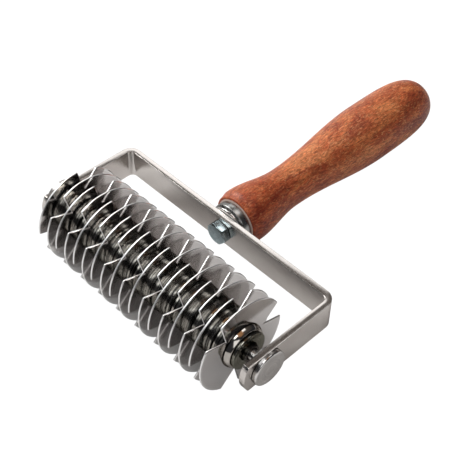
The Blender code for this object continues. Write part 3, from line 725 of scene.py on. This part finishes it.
ferrule_polish = turned_steel("polished_ferrule_steel", pale=(0.44, 0.44, 0.43), deep=(0.30, 0.30, 0.29),
                              polish=0.24, cloudiness=0.10, ring_spacing=0.0005, ring_depth=0.000003,
                              marks=turned_on_handle)
ferrule_section = [(FERRULE_FRONT, BOLT_HOLE_RADIUS), (FERRULE_FRONT, FERRULE_RADIUS - FERRULE_CHAMFER),
                   (FERRULE_FRONT + FERRULE_CHAMFER, FERRULE_RADIUS),
                   (FERRULE_BACK - FERRULE_LIP, FERRULE_RADIUS),
                   (FERRULE_BACK, FERRULE_RADIUS - FERRULE_LIP), (FERRULE_BACK, FERRULE_CUP_RADIUS),
                   (FERRULE_FLOOR, FERRULE_CUP_RADIUS), (FERRULE_FLOOR, BOLT_HOLE_RADIUS)]
ferrule = about_handle(turn_piece(ferrule_section, FERRULE_SIDES))
ease_corners(ferrule, FERRULE_ROUND)
fit_piece("ferrule", ferrule, [ferrule_polish], "frame")


# Threaded insert
# A plain brass sleeve screwed into the drilled end of the handle, which takes the bolt.
# It is out of sight, so the CAD's own shape stays, with the finish of turned brass.
insert_brass = turned_steel("turned_insert_brass", pale=(0.83, 0.66, 0.34), deep=(0.66, 0.48, 0.21),
                            polish=0.25, cloudiness=0.15, ring_spacing=0.0005, ring_depth=0.000004,
                            marks=turned_on_handle)
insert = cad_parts["threaded_insert"]
insert.data.materials.clear()
insert.data.materials.append(insert_brass)


# Handle
# Turned from one piece of reddish-brown hardwood with short fine pores, sanded and varnished satin.
# A tenon goes into the ferrule, and a drilled hole takes the brass insert.
SHOULDER = 0.0522                     # front face of the wood, from the middle of the axle
HANDLE_END = 0.1997
SHOULDER_RADIUS = 0.0137
SHOULDER_ROUND = 0.0009
SHOULDER_STEPS = 5
BEAD_RADIUS = 0.0148
BEAD_PLACE = 0.0055                   # this place and the next two are measured from the shoulder
WAIST_RADIUS = 0.0112
WAIST_PLACE = 0.0347
BELLY_RADIUS = 0.01675
BELLY_PLACE = 0.1010
BUTT_FULLNESS = 3.7                   # 2 would make the butt an ellipse, and more makes it squarer
BUTT_STEPS = 36
TENON_RADIUS = 0.0089
TENON_FRONT = 0.0492
DRILL_RADIUS = 0.0053
DRILL_END = 0.0727
HANDLE_SIDES = 128
GRIP_DARKENED = 0.1000                # from the shoulder to here the wood is darker from oil and hands
SHOULDER_HIGHLIGHT_RADIUS = 0.0122                  # inside this the face of the shoulder is painted pale, a painted highlight along the ferrule's back
SHOULDER_HIGHLIGHT_BLUR = 0.0002
# where each tone of the broad figure lies, and its colour
FIGURE_TONES = ((0.36, (0.24, 0.040, 0.016, 1.0)), (0.50, (0.43, 0.100, 0.034, 1.0)),
                (0.64, (0.58, 0.190, 0.066, 1.0)))
PALE_FLECK = (0.84, 0.39, 0.17, 1.0)
PORE_BROWN = (0.14, 0.026, 0.012, 1.0)
OILED_TINT = (0.74, 0.52, 0.50, 1.0)
SHOULDER_HIGHLIGHT_TINT = (0.95, 0.79, 0.70, 1.0)
# how many times each layer of the wood changes in a metre, its detail, and how far it wanders
WOOD_LAYERS = {"Figure": ((85.0, 30.0, 85.0), 4.0, 1.2), "Flecks": ((1800.0, 300.0, 1800.0), 4.0, 1.1),
               "Pores": ((1500.0, 240.0, 1500.0), 2.0, 1.2),
               "Pale Flecks": ((1000.0, 300.0, 1000.0), 3.0, 1.4)}


def swell(start, end, steps):
    """Places and radii of the smooth swell from one (place, radius) of the handle to the next."""
    points = []
    for step in range(1, steps + 1):
        share = step / steps
        rise = (1 - math.cos(math.pi * share)) / 2
        points.append((SHOULDER + start[0] + (end[0] - start[0]) * share,
                       start[1] + (end[1] - start[1]) * rise))
    return points


def handle_section():
    """Hole, tenon, shoulder, bead, waist, belly and butt as (place along the handle, radius)."""
    section = [(DRILL_END, 0.0), (DRILL_END, DRILL_RADIUS), (TENON_FRONT, DRILL_RADIUS),
               (TENON_FRONT, TENON_RADIUS), (SHOULDER, TENON_RADIUS)]
    for step in range(SHOULDER_STEPS + 1):
        angle = math.pi / 2 * step / SHOULDER_STEPS
        section.append((SHOULDER + SHOULDER_ROUND * (1 - math.cos(angle)),
                        SHOULDER_RADIUS - SHOULDER_ROUND * (1 - math.sin(angle))))
    section += swell((SHOULDER_ROUND, SHOULDER_RADIUS), (BEAD_PLACE, BEAD_RADIUS), steps=6)
    section += swell((BEAD_PLACE, BEAD_RADIUS), (WAIST_PLACE, WAIST_RADIUS), steps=24)
    section += swell((WAIST_PLACE, WAIST_RADIUS), (BELLY_PLACE, BELLY_RADIUS), steps=36)
    butt_length = HANDLE_END - SHOULDER - BELLY_PLACE
    for step in range(1, BUTT_STEPS):
        angle = math.pi / 2 * step / BUTT_STEPS
        section.append((SHOULDER + BELLY_PLACE + butt_length * math.sin(angle) ** (2 / BUTT_FULLNESS),
                        BELLY_RADIUS * math.cos(angle) ** (2 / BUTT_FULLNESS)))
    section.append((HANDLE_END, 0.0))
    return section


def wood_grain_effect():
    """Broad figure, short flecks, dark pores and pale flecks of the wood, drawn out along the handle."""
    tree, given, result = start_effect("wood_grain", {"Fineness": 1.0}, tuple(WOOD_LAYERS))
    place = place_on_tool(tree)
    for label, (scale, detail, wander) in WOOD_LAYERS.items():
        drawn = add_node(tree, "ShaderNodeMapping", {"Vector": place, "Scale": scale,
                                                     "Location": (0.3 * wander, 0.0, 0.1 * detail),
                                                     "Rotation": (0.04, 0.0, 0.05)})
        layer = add_node(tree, "ShaderNodeTexNoise",
                         {"Vector": drawn.outputs[0], "Scale": given["Fineness"], "Detail": detail,
                          "Roughness": 0.6, "Distortion": wander})
        tree.links.new(layer.outputs[0], result[label])
    return tree


def wood_finish():
    """Reddish hardwood: broad mottled figure, short dark pores, pale flecks and a satin varnish."""
    material, tree, hands = start_finish("varnished_handle_wood", 0.018)
    grain = add_node(tree, "ShaderNodeGroup", {}, node_tree=wood_grain_effect()).outputs
    figure = add_node(tree, "ShaderNodeValToRGB", {0: grain["Figure"]})
    tones = figure.color_ramp.elements
    tones.new(0.5)
    for tone, (position, tint) in zip(tones, FIGURE_TONES):
        tone.position = position
        tone.color = tint
    fleck_tone = spread(tree, grain["Flecks"], 0.36, 0.64, 0.42, 1.58)
    colour = blend(tree, 1.0, figure.outputs[0], fleck_tone, "MULTIPLY")
    colour = blend(tree, spread(tree, grain["Pale Flecks"], 0.53, 0.66, high=0.60), colour, PALE_FLECK)
    colour = blend(tree, spread(tree, grain["Pores"], 0.46, 0.32, high=0.55), colour, PORE_BROWN)
    places = add_node(tree, "ShaderNodeSeparateXYZ", {"Vector": place_on_tool(tree)}).outputs
    oiled = spread(tree, places["Y"], GRIP_DARKENED, SHOULDER, high=0.85)
    colour = blend(tree, oiled, colour, OILED_TINT, "MULTIPLY")
    # painted highlight: a pale ring on the shoulder's face, just outside the ferrule, for the bright line
    # where the wood meets it
    radius = distance_from_line(tree, places["X"], places["Z"])
    near_ferrule = spread(tree, radius, SHOULDER_HIGHLIGHT_RADIUS + SHOULDER_HIGHLIGHT_BLUR, SHOULDER_HIGHLIGHT_RADIUS)
    on_shoulder = spread(tree, places["Y"], SHOULDER + SHOULDER_HIGHLIGHT_BLUR, SHOULDER, high=0.85)
    colour = blend(tree, work_out(tree, "MULTIPLY", near_ferrule, on_shoulder), colour, SHOULDER_HIGHLIGHT_TINT)
    height = work_out(tree, "MINIMUM", grain["Flecks"], grain["Pores"])
    feed_shader(tree, colour, spread(tree, hands["Smudge"], 0.3, 0.7, 0.34, 0.48),
                {"Height": height, "Strength": 0.8, "Distance": 0.00016}, {"Specular IOR Level": 0.30})
    return material


handle = about_handle(turn_piece(handle_section(), HANDLE_SIDES, closed=False))
fit_piece("handle", handle, [wood_finish()], "frame")


# Floor, light and camera
# A white table top in a dark room, both blown out to white for the camera. Lights hang high on the left,
# over both ends of the roller, behind it and by the camera. The steel reflects the room's back wall,
# a pale wall on the left and a warm part of the ceiling.
FLOOR_SIZE = 3.0
FLOOR_DROP = 0.0002
FLOOR_DEEP = (0.76, 0.76, 0.76, 1.0)
FLOOR_PALE = (0.80, 0.80, 0.80, 1.0)
FLOOR_GLOW = 0.93                     # how far the camera sees the table top as plain white
FLOOR_GLOW_REFLECTED = 0.10           # and how far a reflection does
ROOM_WHITE = 1.10
ROOM_SHADE = (0.036, 0.037, 0.042, 1.0)
# each part of the room: the way to it, its colour, and how near to that way it starts and is full
ROOM_PARTS = (((-0.25, 0.55, 0.80), (0.12, 0.105, 0.095, 1.0), 0.70, 0.92),      # wall behind
              ((0.18, 0.12, 0.976), (0.50, 0.26, 0.12, 1.0), 0.94, 0.975),       # warm ceiling
              ((-0.86, 0.50, 0.05), (0.80, 0.78, 0.76, 1.0), 0.93, 0.985))       # pale wall on the left
# each light: its name, its place, where it looks, its width, its depth and its radiance
LIGHTS = (("key_light_left", (-1.20, -0.10, 1.00), (0.0, 0.05, 0.02), 0.80, 0.80, 10.0),
          ("long_light_left", (-0.85, -0.62, 1.10), (-0.85, -0.62, 0.0), 0.80, 1.00, 1.4),
          ("long_light_right", (0.03, -0.41, 1.10), (0.03, -0.41, 0.0), 0.64, 0.42, 4.0),
          ("window_behind_left", (-1.19, 1.00, 1.10), (-1.19, 1.00, 0.0), 1.22, 0.66, 1.5),
          ("lamp_behind", (0.09, 0.55, 1.10), (0.09, 0.55, 0.0), 0.50, 0.46, 2.0),
          ("soft_light_by_camera", (0.95, -0.75, 0.95), (0.0, 0.0, 0.03), 0.80, 0.80, 1.4))

floor_mesh = bmesh.new()
bmesh.ops.create_grid(floor_mesh, x_segments=1, y_segments=1, size=FLOOR_SIZE)
bmesh.ops.translate(floor_mesh, verts=floor_mesh.verts, vec=(0, 0, -FLOOR_DROP))
floor_data = bpy.data.meshes.new("table_top")
floor_mesh.to_mesh(floor_data)
floor_mesh.free()
floor = bpy.data.objects.new("table_top", floor_data)
bpy.context.scene.collection.objects.link(floor)
table_white = bpy.data.materials.new("table_white")
table_white.use_nodes = True
tree = table_white.node_tree
grain = add_node(tree, "ShaderNodeTexNoise", {"Scale": 30.0, "Detail": 2.0})
shader = tree.nodes["Principled BSDF"]
shader.inputs["Roughness"].default_value = 0.9
tree.links.new(blend(tree, grain.outputs[0], FLOOR_DEEP, FLOOR_PALE), shader.inputs["Base Color"])
glow = add_node(tree, "ShaderNodeEmission", {"Color": (1.0, 1.0, 1.0, 1.0), "Strength": ROOM_WHITE})
seen = add_node(tree, "ShaderNodeLightPath", {}).outputs
reflected = work_out(tree, "MULTIPLY", seen["Is Glossy Ray"], FLOOR_GLOW_REFLECTED)
overexposed = work_out(tree, "MULTIPLY_ADD", seen["Is Camera Ray"], FLOOR_GLOW, reflected)
shown = add_node(tree, "ShaderNodeMixShader", {0: overexposed, 1: shader.outputs[0], 2: glow.outputs[0]})
tree.links.new(shown.outputs[0], tree.nodes["Material Output"].inputs["Surface"])
floor_data.materials.append(table_white)

room = bpy.data.worlds.new("white_room")
bpy.context.scene.world = room
room.use_nodes = True
tree = room.node_tree
way = add_node(tree, "ShaderNodeTexCoord", {}).outputs["Generated"]
surroundings = add_node(tree, "ShaderNodeRGB", {}).outputs[0]
surroundings.default_value = ROOM_SHADE
for direction, tint, start, full in ROOM_PARTS:
    likeness = add_node(tree, "ShaderNodeVectorMath", {0: way, 1: direction}, operation="DOT_PRODUCT")
    surroundings = blend(tree, spread(tree, likeness.outputs["Value"], start, full), surroundings, tint)
seen = add_node(tree, "ShaderNodeLightPath", {}).outputs
shown = blend(tree, seen["Is Camera Ray"], surroundings, (ROOM_WHITE, ROOM_WHITE, ROOM_WHITE, 1.0))
tree.links.new(shown, tree.nodes["Background"].inputs["Color"])

for name, place, aim, width, depth, radiance in LIGHTS:
    lamp = bpy.data.lights.new(name, "AREA")
    lamp.shape = "RECTANGLE"
    lamp.size = width
    lamp.size_y = depth
    lamp.energy = radiance * math.pi * width * depth
    holder = bpy.data.objects.new(name, lamp)
    holder.location = place
    holder.rotation_euler = (Vector(aim) - Vector(place)).to_track_quat("-Z", "Y").to_euler()
    bpy.context.scene.collection.objects.link(holder)

camera_data = bpy.data.cameras.new("catalogue_camera")
camera_data.lens = 70.82634
camera_data.sensor_width = 36.0
camera = bpy.data.objects.new("catalogue_camera", camera_data)
camera.location = (0.23167, -0.24876, 0.36539)
camera.rotation_euler = (math.radians(41.6807), math.radians(1.3382), math.radians(45.9272))
bpy.context.scene.collection.objects.link(camera)
bpy.context.scene.camera = camera
bpy.context.scene.view_settings.view_transform = "Standard"
